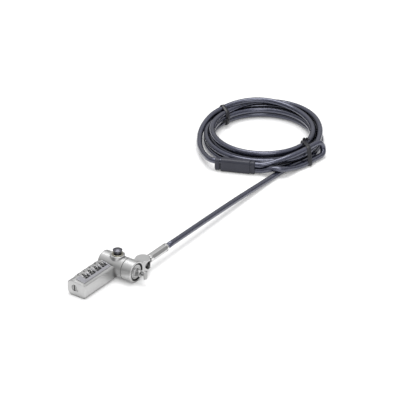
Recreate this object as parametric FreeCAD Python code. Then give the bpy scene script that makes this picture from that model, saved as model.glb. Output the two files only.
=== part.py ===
import FreeCAD, Part
import math
import os
from FreeCAD import Vector

# Laptop cable lock with four number wheels, a push button and a coiled steel cable.
# Millimetres. While it is drawn, X runs along the barrel from the left side of the bar,
# Y runs along the bar from its near end, and Z is up from the surface that it lies on.
# save() then moves every piece to the origin: the middle of the lock's footprint.

# Bar that holds the number wheels
bar_width = 16.0
bar_height = 11.0
bar_left_foot = 4.2        # radius of the bottom left edge
bar_right_foot = 2.5       # radius of the bottom right edge
bar_top_edge = 0.6         # chamfer of the top right edge
bar_end_edge = 0.5         # chamfer round the near end
bezel_margin = 2.7         # flat strip beside the bezel plate

# Number wheels
dial_count = 4
dial_radius = 5.5
dial_width = 4.9
dial_pitch = 6.5
first_dial_y = 10.9
dial_side_gap = 0.3
dial_rim_gap = 0.25
dial_floor = 1.2           # wall of the bar under the wheels
dial_side_reach = 0.9      # how far the wheels stand out of the left side
hump_step = 0.25           # how far the wheels stand out of the hump over them
digits = 10
notch_radius = 0.95
notch_depth = 0.4
first_notch = 42.0         # degrees from the top to the right, of one notch
window_depth = 2.2         # depth of the sloped side of each window
window_slope_run = 1.9

# Bezel plate on top of the bar
plate_thickness = 0.8
plate_proud = 0.25
plate_left = 5.6
plate_near_y = 2.9
plate_far_y = 34.2
plate_gap = 0.05

# Code rings, spindle and leaf spring
ring_gap = 0.08
code_ring_radius = 3.25
code_bore = 1.5
fin_reach = 2.35
fin_width = 0.8
fin_length = 0.4
fin_rest = 0.15            # from each code ring's lip to the fin behind it
lip_thickness = 0.4        # the slotted lip at the far side of each code ring
fin_gap = 0.15
spindle_radius = 1.38
spindle_travel = 1.2
spindle_near_y = 6.4
leaf_thickness = 0.35
leaf_height = 3.6
leaf_touch = 0.7           # radius of the bumps that rest against the wheels
leaf_gap = 0.12

# Code change screw in the near end
reset_x = 6.5
reset_z = 6.6
reset_radius = 2.35
reset_length = 4.6
reset_slot = 0.9
reset_slot_depth = 0.7
reset_sink = 0.15
reset_gap = 0.06
index_turn = 30.0          # degrees below X, where the index mark stands beside the screw
index_reach = 3.15         # from the screw's axis
index_length = 1.6
index_width = 0.45
index_depth = 0.3

# Barrel across the far end of the bar
barrel_y = 41.3
barrel_radius = 8.0
barrel_left = 0.5
barrel_step = 21.5         # where the turning ring starts
barrel_right = 30.5
barrel_end_round = 1.3
barrel_bore = 4.5
plug_thickness = 1.7
plug_sink = 0.5
plug_gap = 0.03

# Turning ring with its knuckle
nose_radius = 6.1
ring_run = 0.08            # running gap of the ring on the nose
ring_side_gap = 0.15
ring_counterbore = 6.75
counterbore_depth = 1.9
ring_end_edge = 0.35
knuckle_reach = 12.8       # from the barrel's axis to the knuckle's
knuckle_radius = 5.5
knuckle_height = 8.6
knuckle_edge = 0.5
pivot_radius = 3.0
pivot_run = 0.08
pivot_length = 5.6
stem_radius = 2.0
stem_seat = 0.02
stem_slot_gap = 0.2
cable_tilt = 15.0          # degrees up and down

# Snap ring, nose plate, pins and T bar
snap_thickness = 0.7
snap_side_gap = 0.05
snap_inner = 5.35
snap_outer = 6.65
snap_gap_angle = 40.0
neck_radius = 5.3
nose_plate_radius = 4.45
nose_plate_thickness = 1.6
nose_face_sink = 0.6       # from the ring's end back to the nose face
nose_boss_radius = 2.5
nose_boss_length = 4.3
nose_pin_radius = 0.5
nose_pin_offset = 1.85
nose_pin_length = 1.8
nose_pin_seat = 0.01
t_neck_radius = 1.2
t_gap = 3.2                # thickness of the slotted wall that the T holds
t_length = 6.4
t_width = 2.8
t_thickness = 1.6
t_run = 0.1
neck_seat = 0.02

# Turning core
core_run = 0.08
core_radius = 4.3
core_length = 9.6
eccentric_radius = 2.2
eccentric_offset = 0.85
eccentric_width = 3.0
yoke_wall = 0.8
yoke_height = 4.4
yoke_run = 0.05
journal_radius = 2.6
crank_reach = 1.45
crank_pin_radius = 0.5
cheek_radius = 2.6
cheek_width = 1.0
crank_inside = 3.8

# Push button on its boss
button_x = 13.5
boss_radius = 5.4
boss_top = 17.3
boss_edge = 0.5
collar_outer = 4.3
collar_inner = 2.75
collar_bottom = 16.7
collar_top = 17.9
button_travel = 2.1
button_lip_radius = 3.5
button_lip_bottom = 20.05
button_lip_height = 0.7
button_dome = 1.0
button_neck_radius = 2.65
button_flange_radius = 3.3
button_flange_height = 0.4
flange_rest = 0.05         # from the flange up to the collar that stops it
boss_bore = 3.45
boss_ledge = 12.9
stem_bore = 2.6
button_run = 0.08
finger_width = 2.4
finger_inner = 0.75
finger_outer = 2.1
spring_wire = 0.32
spring_turns = 2.5
spring_radius = 3.03
spring_rest = 0.03

# Cable
cable_d = 4.4
cable_gap = 0.5            # between neighbouring turns of the coil
ferrule_radius = 3.15
ferrule_start = 6.9        # from the pivot's axis
ferrule_length = 21.5
ferrule_edge = 0.5
ferrule_rim = 2.2          # round length left at each end of the pressed flats
ferrule_press = 0.3        # depth of the six pressed flats
tie_thickness = 0.6
tie_width = 3.0
tie_slack = 0.4
tie_lift = 0.05
# Turns from the coil's start where the inner and outer ends of each tie stand
tie_front = (-0.015, -0.027)
tie_back = (0.468, 0.468)
knot_length = 3.4
knot_spread = 24.0         # degrees between the tie's twisted ends
least_bend = 0.02          # sine of the smallest corner that a tie follows

# Coil: four layers that spiral in and out again, a little oval
coil_x = -18.9
coil_y = 269.7
coil_radius = 45.7
coil_oval = 1.07
coil_oval_turn = 35.7      # degrees, direction of the shorter axis
layer_turns = (1.5, 1.25, 1.5, 1.25)
quarter = 0.25

# Sleeve that closes the end loop
sleeve_length = 31.2
sleeve_x = -7.7
sleeve_y = 217.4
sleeve_turn = 23.5         # degrees from X in plan
sleeve_width = 6.6
sleeve_height = 10.8
sleeve_corner = 2.4
sleeve_lift = 0.1
sleeve_edge = 0.6
sleeve_waist = 0.55        # depth of the necks between the body and its end collars
left_collar = 3.4
right_collar = 2.6
waist_length = 1.0
strand_rise = 2.35         # from the sleeve's axis to each of its two cables
blind_wall = 1.6           # between the cable's end and the left collar
crimp_length = 19.0
crimp_wall = 0.5
cable_seat = 0.02

# Values worked out from the sizes above
dial_z = dial_floor + dial_rim_gap + dial_radius
dial_x = dial_radius - dial_side_reach
hump_radius = dial_radius - hump_step
slot_width = dial_width + 2 * dial_side_gap
slot_radius = dial_radius + dial_rim_gap
cable_r = cable_d / 2
strand_pitch = cable_d + cable_gap
barrel_z = barrel_radius
knuckle_y = barrel_y + knuckle_reach
ring_left = barrel_step + ring_side_gap
knuckle_x = (ring_left + barrel_right) / 2
nose_face = barrel_right - nose_face_sink
snap_left = barrel_right - counterbore_depth + snap_side_gap
boss_face = nose_face + nose_boss_length
nose_pin_start = boss_face - nose_boss_length * 0.6
t_head_left = boss_face + t_gap
t_tip = t_head_left + t_thickness
terminal_end = knuckle_y + ferrule_start + ferrule_length * 0.35
origin_x = (dial_x - dial_radius + t_tip) / 2
origin_y = terminal_end / 2
plate_right = bar_width - bezel_margin
dial_ys = [first_dial_y + dial_pitch * k for k in range(dial_count)]
coil_base_z = tie_lift + tie_thickness + tie_slack + cable_r
eccentric_left = dial_x - eccentric_width / 2
sleeve_axis_z = sleeve_lift + sleeve_height / 2

X = Vector(1, 0, 0)
Y = Vector(0, 1, 0)
Z = Vector(0, 0, 1)


def save(name, shape):
    """Writes one piece, moved to the part's origin."""
    piece = shape.copy()
    piece.translate(Vector(-origin_x, -origin_y, 0))
    solids = piece.Solids
    volume = round(sum(s.Volume for s in solids), 2)
    print(name, "solids", len(solids), "volume", volume, "valid", piece.isValid())
    out = solids[0] if len(solids) == 1 else Part.makeCompound(solids)
    out.exportStep("parts/" + name + ".step")


def rod(radius, length, base, axis):
    return Part.makeCylinder(radius, length, base, axis)


def box(x0, x1, y0, y1, z0, z1):
    return Part.makeBox(x1 - x0, y1 - y0, z1 - z0, Vector(x0, y0, z0))


def tube(outer, inner, length, base, axis):
    return rod(outer, length, base, axis).cut(rod(inner, length, base, axis))


def prism_y(points, y0, y1):
    """Closed outline of (x, z) corners, pushed along Y."""
    wire = Part.makePolygon([Vector(x, y0, z) for x, z in points + points[:1]])
    return Part.Face(wire).extrude(Vector(0, y1 - y0, 0))


def revolve_z(points, x, y):
    """Closed outline of (radius, z) corners, turned about the vertical line through x, y."""
    wire = Part.makePolygon([Vector(x + r, y, z) for r, z in points + points[:1]])
    return Part.Face(wire).revolve(Vector(x, y, 0), Z, 360)


def revolve_x(points, y, z):
    """Closed outline of (x, radius) corners, turned about the line along X through y, z."""
    wire = Part.makePolygon([Vector(px, y, z + r) for px, r in points + points[:1]])
    return Part.Face(wire).revolve(Vector(0, y, z), X, 360)


def at_angle(radius, degrees):
    """Point (x, z) on a circle round the wheels' axis, degrees from the top to the right."""
    a = math.radians(degrees)
    return dial_x + radius * math.sin(a), dial_z + radius * math.cos(a)


# Slope of the bar's top, which leaves the hump as a tangent and ends at the plate's right edge
slope_dx = plate_right - dial_x
slope_dz = bar_height - dial_z
slope_far = math.hypot(slope_dx, slope_dz)
slope_angle = math.degrees(math.acos(hump_radius / slope_far) - math.atan2(slope_dx, slope_dz))
top_turn = -slope_angle
crest_x, crest_z = at_angle(hump_radius, top_turn)


def top_z(x):
    """Height of the sloped top of the bar."""
    return crest_z - (x - crest_x) * math.tan(math.radians(top_turn))


def bar_section(y):
    """Outline of the bar across its length, as a wire in the plane at y."""
    side_z = dial_z + math.sqrt(hump_radius ** 2 - dial_x ** 2)
    half = math.degrees(math.atan2(-dial_x, side_z - dial_z)) / 2 + top_turn / 2
    hx, hz = at_angle(hump_radius, half)
    s = math.sqrt(0.5)
    fl = bar_left_foot
    fr = bar_right_foot

    top_edge = bar_height - bar_top_edge

    def p(x, z):
        return Vector(x, y, z)

    edges = [
        Part.Arc(p(0, fl), p(fl - fl * s, fl - fl * s), p(fl, 0)).toShape(),
        Part.LineSegment(p(fl, 0), p(bar_width - fr, 0)).toShape(),
        Part.Arc(p(bar_width - fr, 0), p(bar_width - fr + fr * s, fr - fr * s), p(bar_width, fr)).toShape(),
        Part.LineSegment(p(bar_width, fr), p(bar_width, top_edge)).toShape(),
        Part.LineSegment(p(bar_width, top_edge), p(bar_width - bar_top_edge, bar_height)).toShape(),
        Part.LineSegment(p(bar_width - bar_top_edge, bar_height), p(plate_right, bar_height)).toShape(),
        Part.LineSegment(p(plate_right, bar_height), p(crest_x, crest_z)).toShape(),
        Part.Arc(p(crest_x, crest_z), p(hx, hz), p(0, side_z)).toShape(),
        Part.LineSegment(p(0, side_z), p(0, fl)).toShape(),
    ]
    return Part.Wire(edges)


def bar_solid():
    """The bar, its near end chamfered as one loft to a slightly smaller outline."""
    wide = bar_section(bar_end_edge)
    small = bar_section(bar_end_edge)
    body = Part.Face(wide).extrude(Vector(0, barrel_y - bar_end_edge, 0))
    factor_x = 1 - 2 * bar_end_edge / bar_width
    factor_z = 1 - 2 * bar_end_edge / bar_height
    matrix = FreeCAD.Matrix()
    matrix.move(Vector(-bar_width / 2, 0, -bar_height / 2))
    matrix.scale(Vector(factor_x, 1, factor_z))
    matrix.move(Vector(bar_width / 2, -bar_end_edge, bar_height / 2))
    small = small.transformGeometry(matrix)
    tip = Part.makeLoft([small, wide], True, True)
    return body.fuse(tip)


def barrel_solid():
    """Fixed length of the barrel with its rounded left end, and the slimmer nose for the ring."""
    full = rod(barrel_radius, barrel_step - barrel_left, Vector(barrel_left, barrel_y, barrel_z), X)
    rims = [e for e in full.Edges if e.Curve.TypeId == "Part::GeomCircle"]
    full = full.makeFillet(barrel_end_round, [e for e in rims if e.BoundBox.XMax < barrel_left + 0.1])
    groove_left = snap_left - snap_side_gap
    nose = rod(nose_radius, groove_left - barrel_step, Vector(barrel_step, barrel_y, barrel_z), X)
    neck = rod(neck_radius, nose_face - groove_left, Vector(groove_left, barrel_y, barrel_z), X)
    return full.fuse([nose, neck])


def button_boss():
    """Round boss for the push button, its top edge rounded, down to the barrel's axis."""
    boss = rod(boss_radius, boss_top - barrel_z, Vector(button_x, barrel_y, barrel_z), Z)
    top = [e for e in boss.Edges if e.BoundBox.ZMin > boss_top - 0.1]
    return boss.makeFillet(boss_edge, top)


def window_cut(y):
    """Space of one wheel: round slot, its open left side and top, and the sloped right side."""
    y0 = y - slot_width / 2
    y1 = y + slot_width / 2
    slot = rod(slot_radius, slot_width, Vector(dial_x, y0, dial_z), Y)
    depth_z = dial_z + window_depth
    inner_x = dial_x + math.sqrt(slot_radius ** 2 - window_depth ** 2)
    high = dial_z + dial_radius + 2
    outline = [(dial_x, depth_z), (inner_x, depth_z), (inner_x + window_slope_run, high), (dial_x, high)]
    return slot.fuse(prism_y(outline, y0, y1))


def plate_outline():
    """Corners of the bezel plate across the bar, from its seat to its proud top."""
    seat = -plate_thickness
    return [
        (plate_left, top_z(plate_left) + seat),
        (plate_right, top_z(plate_right) + seat),
        (plate_right, top_z(plate_right) + plate_proud),
        (plate_left, top_z(plate_left) + plate_proud),
    ]


def plate_blank(grow):
    """The bezel plate without windows; its seat is larger by grow, and open at the top."""
    (xa, za), (xb, zb), (xc, zc), (xd, zd) = plate_outline()
    top = 5 * grow
    corners = [(xa - grow, za - grow), (xb + grow, zb - grow), (xc + grow, zc + top), (xd - grow, zd + top)]
    return prism_y(corners, plate_near_y - grow, plate_far_y + grow)


def dial_plate():
    """Raised bezel with a window over each wheel."""
    plate = plate_blank(0)
    for y in dial_ys:
        plate = plate.cut(window_cut(y))
    return plate


def leaf_x():
    """Left face of the leaf spring's strip."""
    return dial_x + dial_radius + leaf_gap + leaf_touch


def leaf_z():
    return dial_z - leaf_height / 2


def detent_spring():
    """Strip beside the wheels with one rounded bump against each of them."""
    y0 = dial_ys[0] - slot_width / 2
    y1 = dial_ys[-1] + slot_width / 2
    strip = box(leaf_x(), leaf_x() + leaf_thickness, y0, y1, leaf_z(), leaf_z() + leaf_height)
    for y in dial_ys:
        bump = rod(leaf_touch, dial_width * 0.5, Vector(leaf_x(), y - dial_width * 0.25, dial_z), Y)
        strip = strip.fuse(bump.common(box(0, leaf_x() + leaf_thickness, y - 5, y + 5, 0, 20)))
    return strip.removeSplitter()


def leaf_pocket():
    y0 = dial_ys[0] - slot_width / 2 - leaf_gap
    y1 = dial_ys[-1] + slot_width / 2 + leaf_gap
    x1 = leaf_x() + leaf_thickness + leaf_gap
    return box(dial_x + dial_radius * 0.8, x1, y0, y1, leaf_z() - leaf_gap, leaf_z() + leaf_height + leaf_gap)


def index_mark():
    """Short groove in the near end, beside the code change screw."""
    groove = box(-index_width / 2, index_width / 2, -1, index_depth, -index_length / 2, index_length / 2)
    groove.translate(Vector(index_reach, 0, 0))
    groove.rotate(Vector(0, 0, 0), Y, index_turn)
    groove.translate(Vector(reset_x, 0, reset_z))
    return groove


def body_housing():
    """Die cast body: bar, barrel and button boss in one piece, with every space inside it."""
    body = bar_solid().fuse([barrel_solid(), button_boss()]).removeSplitter()
    cuts = [plate_blank(plate_gap), leaf_pocket(), index_mark()]
    cuts += [window_cut(y) for y in dial_ys]
    spindle_end = spindle_near_y - spindle_travel - fin_gap
    cuts.append(rod(fin_reach + fin_gap, barrel_y - spindle_end, Vector(dial_x, spindle_end, dial_z), Y))
    reset_hole = reset_length + reset_gap
    cuts.append(rod(reset_radius + reset_gap, reset_hole + 1, Vector(reset_x, -1, reset_z), Y))
    cuts.append(rod(barrel_bore, nose_face - barrel_left + 2, Vector(barrel_left - 1, barrel_y, barrel_z), X))
    top = boss_top + 1
    collar_seat = Vector(button_x, barrel_y, collar_bottom)
    cuts.append(rod(collar_outer + button_run, top - collar_bottom, collar_seat, Z))
    cuts.append(rod(boss_bore, top - boss_ledge, Vector(button_x, barrel_y, boss_ledge), Z))
    cuts.append(rod(stem_bore, top - barrel_z, Vector(button_x, barrel_y, barrel_z), Z))
    return body.cut(cuts)


def dial(y):
    """Number wheel: a ring with a rounded notch between each two of its ten numbers."""
    near = Vector(dial_x, y - dial_width / 2, dial_z)
    wheel = tube(dial_radius, code_ring_radius + ring_gap, dial_width, near, Y)
    centre_r = dial_radius + notch_radius - notch_depth
    notches = []
    for k in range(digits):
        nx, nz = at_angle(centre_r, first_notch + 360 / digits * k)
        notches.append(rod(notch_radius, dial_width, Vector(nx, y - dial_width / 2, nz), Y))
    return wheel.cut(notches)


def code_ring(y):
    """Inner ring of a wheel: hollow, with a slotted lip at its far side that the fin must pass."""
    near = Vector(dial_x, y - dial_width / 2, dial_z)
    hollow = fin_reach + fin_gap
    ring = tube(code_ring_radius, code_bore, dial_width, near, Y)
    ring = ring.cut(rod(hollow, dial_width - lip_thickness, near, Y))
    half = fin_width / 2 + fin_gap
    slot = box(dial_x - half, dial_x + half, near.y, near.y + dial_width, dial_z, dial_z + hollow)
    return ring.cut(slot)


def eccentric_centre():
    """Centre of the core's eccentric disc at rest, behind and below the barrel's axis."""
    shift = eccentric_offset * math.sqrt(0.5)
    return barrel_y + shift, barrel_z - shift


def yoke():
    """Frame round the eccentric disc, open below, that carries the spindle to and fro."""
    cy, cz = eccentric_centre()
    x0 = eccentric_left + yoke_run
    x1 = eccentric_left + eccentric_width - yoke_run
    half = eccentric_radius + yoke_run
    top = barrel_z + yoke_height / 2
    bottom = barrel_z - yoke_height / 2
    frame = box(x0, x1, cy - half - yoke_wall, cy + half + yoke_wall, bottom, top)
    inside = box(x0 - 1, x1 + 1, cy - half, cy + half, bottom - 1, cz + half)
    return frame.cut(inside)


def spindle():
    """Rod through all the wheels with one fin behind each of them, and the yoke at its end."""
    cy, cz = eccentric_centre()
    tip = cy - eccentric_radius - yoke_run - yoke_wall
    shaft = rod(spindle_radius, tip - spindle_near_y, Vector(dial_x, spindle_near_y, dial_z), Y)
    fins = []
    for y in dial_ys:
        near = y + dial_width / 2 + fin_rest
        fins.append(box(dial_x - fin_width / 2, dial_x + fin_width / 2, near, near + fin_length,
                        dial_z, dial_z + fin_reach))
    return shaft.fuse(fins + [yoke()]).removeSplitter()


def reset_screw():
    """Code change screw with a straight slot for a small screwdriver or a coin."""
    y0 = reset_sink
    body = rod(reset_radius, reset_length - y0, Vector(reset_x, y0, reset_z), Y)
    edge = [e for e in body.Edges if e.BoundBox.YMax < y0 + 0.1]
    body = body.makeChamfer(0.25, edge)
    half = reset_slot / 2
    slot = box(reset_x - half, reset_x + half, y0 - 1, y0 + reset_slot_depth,
               reset_z - reset_radius, reset_z + reset_radius)
    return body.cut(slot)


def barrel_plug():
    """Disc pressed into the left end of the barrel, with a chamfered rim."""
    x0 = barrel_left + plug_sink
    disc = rod(barrel_bore - plug_gap, plug_thickness, Vector(x0, barrel_y, barrel_z), X)
    rim = [e for e in disc.Edges if e.BoundBox.XMax < x0 + 0.1]
    return disc.makeChamfer(0.3, rim)


def lock_core():
    """Turning core: eccentric disc at the left, crank under the button, journal at the right."""
    cheek_left = button_x - crank_inside / 2 - cheek_width
    cheek_right = button_x + crank_inside / 2
    core_left = nose_face - nose_plate_thickness - core_run - core_length
    left_end = barrel_left + plug_sink + plug_thickness + core_run
    ey, ez = eccentric_centre()
    s = math.sqrt(0.5) * crank_reach
    pieces = [
        rod(journal_radius * 0.7, eccentric_left - left_end, Vector(left_end, barrel_y, barrel_z), X),
        rod(eccentric_radius, eccentric_width, Vector(eccentric_left, ey, ez), X),
        rod(journal_radius, cheek_left - eccentric_left - eccentric_width,
            Vector(eccentric_left + eccentric_width, barrel_y, barrel_z), X),
        rod(cheek_radius, cheek_width, Vector(cheek_left, barrel_y, barrel_z), X),
        rod(crank_pin_radius, crank_inside, Vector(cheek_left + cheek_width, barrel_y + s, barrel_z + s), X),
        rod(cheek_radius, cheek_width, Vector(cheek_right, barrel_y, barrel_z), X),
        rod(journal_radius, core_left - cheek_right - cheek_width,
            Vector(cheek_right + cheek_width, barrel_y, barrel_z), X),
        rod(core_radius, core_length, Vector(core_left, barrel_y, barrel_z), X),
    ]
    core = pieces[0].fuse(pieces[1:])
    seat_left = Vector(core_left + core_length / 2, barrel_y, barrel_z)
    seat = rod(t_neck_radius + neck_seat, core_length / 2 + 1, seat_left, X)
    return core.cut(seat).removeSplitter()


def nose_plate():
    """Plate in the end of the barrel with the round boss that stands against the laptop."""
    x0 = nose_face - nose_plate_thickness
    profile = [
        (x0, t_neck_radius + t_run),
        (x0, nose_plate_radius),
        (nose_face - 0.2, nose_plate_radius),
        (nose_face, nose_plate_radius - 0.2),
        (nose_face, nose_boss_radius + 0.7),
        (nose_face + 0.7, nose_boss_radius),
        (boss_face - 0.3, nose_boss_radius),
        (boss_face, nose_boss_radius - 0.3),
        (boss_face, t_neck_radius + t_run),
    ]
    plate = revolve_x(profile, barrel_y, barrel_z)
    holes = []
    for py in (barrel_y - nose_pin_offset, barrel_y + nose_pin_offset):
        start = Vector(nose_pin_start, py, barrel_z)
        holes.append(rod(nose_pin_radius + nose_pin_seat, nose_boss_length, start, X))
    return plate.cut(holes)


def nose_pins():
    """Two pins beside the neck that stop the lock from turning in the slot."""
    pins = []
    x0 = nose_pin_start + 2 * nose_pin_seat
    for py in (barrel_y - nose_pin_offset, barrel_y + nose_pin_offset):
        pin = rod(nose_pin_radius, boss_face + nose_pin_length - x0, Vector(x0, py, barrel_z), X)
        tip = [e for e in pin.Edges if e.BoundBox.XMin > boss_face + nose_pin_length - 0.1]
        pins.append(pin.makeFillet(nose_pin_radius * 0.5, tip))
    return Part.makeCompound(pins)


def t_bar():
    """Steel T: a neck pressed in the core and a rounded cross head, upright at rest."""
    core_right = nose_face - nose_plate_thickness - core_run
    x0 = core_right - core_length / 2 + 0.1
    neck = rod(t_neck_radius, t_head_left + t_thickness / 2 - x0, Vector(x0, barrel_y, barrel_z), X)
    half = t_length / 2
    head = rod(half, t_thickness, Vector(t_head_left, barrel_y, barrel_z), X)
    head = head.common(box(t_head_left, t_tip, barrel_y - t_width / 2, barrel_y + t_width / 2,
                           barrel_z - half, barrel_z + half))
    outer = [e for e in head.Edges if e.BoundBox.XMin > t_tip - 0.05]
    head = head.makeFillet(0.45, outer)
    return neck.fuse(head).removeSplitter()


def snap_ring():
    """Open spring steel ring that keeps the turning ring on the nose."""
    ring = tube(snap_outer, snap_inner, snap_thickness, Vector(snap_left, barrel_y, barrel_z), X)
    a = math.radians(snap_gap_angle / 2)
    far = snap_outer * 1.3
    wedge = Part.Face(Part.makePolygon([
        Vector(snap_left, barrel_y, barrel_z),
        Vector(snap_left, barrel_y + far * math.sin(a), barrel_z - far * math.cos(a)),
        Vector(snap_left, barrel_y - far * math.sin(a), barrel_z - far * math.cos(a)),
        Vector(snap_left, barrel_y, barrel_z),
    ])).extrude(Vector(snap_thickness, 0, 0))
    return ring.cut(wedge)


def swivel_ring():
    """Turning ring in one piece with the knuckle that holds the cable's end."""
    outer = revolve_x([
        (ring_left, 0),
        (ring_left, barrel_radius - ring_end_edge),
        (ring_left + ring_end_edge, barrel_radius),
        (barrel_right - ring_end_edge, barrel_radius),
        (barrel_right, barrel_radius - ring_end_edge),
        (barrel_right, 0),
    ], barrel_y, barrel_z)
    low = barrel_z - knuckle_height / 2
    deep = barrel_right - counterbore_depth
    eye = rod(knuckle_radius, knuckle_height, Vector(knuckle_x, knuckle_y, low), Z)
    rims = [e for e in eye.Edges if e.Curve.TypeId == "Part::GeomCircle"]
    eye = eye.makeFillet(knuckle_edge, rims)
    neck_half = (barrel_right - ring_left) / 2 - ring_end_edge
    neck = box(knuckle_x - neck_half, knuckle_x + neck_half, barrel_y, knuckle_y, low, low + knuckle_height)
    ring = outer.fuse([eye, neck])
    bores = [
        rod(nose_radius + ring_run, barrel_right, Vector(ring_left - 1, barrel_y, barrel_z), X),
        rod(ring_counterbore, counterbore_depth + 1, Vector(deep, barrel_y, barrel_z), X),
        rod(pivot_radius + pivot_run, 2 * barrel_right, Vector(0, knuckle_y, barrel_z), X),
    ]
    return ring.cut(bores).cut(stem_slot()).removeSplitter()


def stem_slot():
    """Opening at the back of the knuckle in which the cable's stem tilts up and down."""
    half = stem_radius + stem_slot_gap
    far = knuckle_radius + 1
    tilt = math.radians(cable_tilt)
    rise = half / math.cos(tilt)
    outline = [
        Vector(knuckle_x - half, knuckle_y, barrel_z + rise),
        Vector(knuckle_x - half, knuckle_y + far, barrel_z + rise + far * math.tan(tilt)),
        Vector(knuckle_x - half, knuckle_y + far, barrel_z - rise - far * math.tan(tilt)),
        Vector(knuckle_x - half, knuckle_y, barrel_z - rise),
    ]
    return Part.Face(Part.makePolygon(outline + outline[:1])).extrude(Vector(2 * half, 0, 0))


def cable_terminal():
    """Pivot in the knuckle's cross bore, with the stem that the sleeve is crimped on."""
    pivot = rod(pivot_radius, pivot_length, Vector(knuckle_x - pivot_length / 2, knuckle_y, barrel_z), X)
    pivot = pivot.makeChamfer(0.4, [e for e in pivot.Edges if e.Curve.TypeId == "Part::GeomCircle"])
    stem = rod(stem_radius, terminal_end - knuckle_y, Vector(knuckle_x, knuckle_y, barrel_z), Y)
    return pivot.fuse(stem).removeSplitter()


def hexagon(flat, y0, y1):
    """Six sided bar round the cable's axis, that far from its middle to each flat."""
    reach = flat / math.cos(math.pi / 6)
    corners = []
    for k in range(6):
        a = math.pi / 3 * k
        corners.append((knuckle_x + reach * math.cos(a), barrel_z + reach * math.sin(a)))
    return prism_y(corners, y0, y1)


def ferrule():
    """Sleeve pressed on the cable with six flats, hollow where the stem goes in."""
    y0 = knuckle_y + ferrule_start
    y1 = y0 + ferrule_length
    body = rod(ferrule_radius, ferrule_length, Vector(knuckle_x, y0, barrel_z), Y)
    rims = [e for e in body.Edges if e.Curve.TypeId == "Part::GeomCircle"]
    body = body.makeChamfer(ferrule_edge, rims)
    flats = hexagon(ferrule_radius - ferrule_press, y0 + ferrule_rim, y1 - ferrule_rim)
    left = knuckle_x - 2 * ferrule_radius
    right = knuckle_x + 2 * ferrule_radius
    low = barrel_z - 2 * ferrule_radius
    around = box(left, right, y0 + ferrule_rim, y1 - ferrule_rim, low, low + 4 * ferrule_radius)
    seat = rod(stem_radius + stem_seat, terminal_end + stem_seat - y0, Vector(knuckle_x, y0, barrel_z), Y)
    return body.cut([around.cut(flats), seat])


def push_button():
    """Domed cap, neck, flange that stops it under the collar, and the finger on the crank."""
    lip_top = button_lip_bottom + button_lip_height
    flange_top = collar_bottom - flange_rest
    flange_bottom = flange_top - button_flange_height
    stem_bottom = boss_ledge + 0.5
    cap_r = button_lip_radius
    # The dome is the cap of a ball whose height over the lip is button_dome
    ball = (cap_r ** 2 + button_dome ** 2) / (2 * button_dome)
    dome = Part.makeSphere(ball, Vector(button_x, barrel_y, lip_top + button_dome - ball))
    dome = dome.common(rod(cap_r, button_dome + 1, Vector(button_x, barrel_y, lip_top), Z))
    shaft = revolve_z([
        (0, stem_bottom),
        (stem_bore - button_run, stem_bottom),
        (stem_bore - button_run, flange_bottom),
        (button_flange_radius, flange_bottom),
        (button_flange_radius, flange_top),
        (button_neck_radius, flange_top),
        (button_neck_radius, button_lip_bottom),
        (cap_r - 0.2, button_lip_bottom),
        (cap_r, button_lip_bottom + 0.2),
        (cap_r, lip_top),
        (0, lip_top),
    ], button_x, barrel_y)
    pin_top = barrel_z + crank_reach * math.sqrt(0.5) + crank_pin_radius
    finger = box(button_x - finger_width / 2, button_x + finger_width / 2,
                 barrel_y + finger_inner, barrel_y + finger_outer, pin_top + 0.1, stem_bottom + 0.5)
    return shaft.fuse([dome, finger]).removeSplitter()


def button_collar():
    """Bright ring pressed into the boss, which guides the button."""
    return revolve_z([
        (collar_inner, collar_bottom),
        (collar_outer, collar_bottom),
        (collar_outer, collar_top - 0.4),
        (collar_outer - 0.4, collar_top),
        (collar_inner + 0.2, collar_top),
        (collar_inner, collar_top - 0.2),
    ], button_x, barrel_y)


# Wound and laid forms


def biarc(p0, t0, p1, t1):
    """Two arcs that leave p0 along t0 and reach p1 along t1 with one tangent between them."""
    v = p1 - p0
    t = t0 + t1
    a = 2 * (t0.dot(t1) - 1)
    b = v.dot(t)
    c = v.dot(v)
    if abs(a) < 1e-9:
        d = c / (2 * b)
    else:
        d = (b - math.sqrt(b * b - a * c)) / a
    mid = (p0 + p1 + (t0 - t1) * d) * 0.5
    joint = (p1 - t1 * d - p0 - t0 * d).normalize()
    return [arc(p0, t0, mid), arc(mid, joint, p1)]


def arc(p0, t0, p1):
    """Arc from p0 to p1 that leaves p0 along t0."""
    chord = p1 - p0
    length = chord.Length
    u = chord * (1 / length)
    side = t0 - u * t0.dot(u)
    half = math.acos(max(-1.0, min(1.0, t0.dot(u)))) / 2
    side.normalize()
    bulge = length / 2 * math.tan(half)
    return Part.Arc(p0, p0 + chord * 0.5 + side * bulge, p1).toShape()


def sweep(edges, radius):
    """Round tube along a wire of arcs and lines."""
    wire = Part.Wire(edges)
    start = wire.Edges[0]
    p = start.valueAt(start.FirstParameter)
    t = start.tangentAt(start.FirstParameter)
    ring = Part.Wire(Part.makeCircle(radius, p, t))
    return wire, wire.makePipeShell([ring], True, False)


def route_edges(points):
    """Straight runs joined by tangent arcs, each as large as its two runs allow."""
    edges = []
    radii = []
    start = points[0]
    for a, b, c in zip(points, points[1:], points[2:]):
        u = b - a
        v = c - b
        shorter = min(u.Length, v.Length)
        u.normalize()
        v.normalize()
        half = math.acos(max(-1.0, min(1.0, u.dot(v)))) / 2
        cut = 0.45 * shorter
        radii.append(cut / math.tan(half))
        p0 = b - u * cut
        p2 = b + v * cut
        # Middle of the arc, on the line from the corner to the arc's centre
        inward = (v - u).normalize()
        p1 = b + inward * (radii[-1] * (1 / math.cos(half) - 1))
        edges.append(Part.LineSegment(start, p0).toShape())
        edges.append(Part.Arc(p0, p1, p2).toShape())
        start = p2
    edges.append(Part.LineSegment(start, points[-1]).toShape())
    return edges, radii


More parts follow.
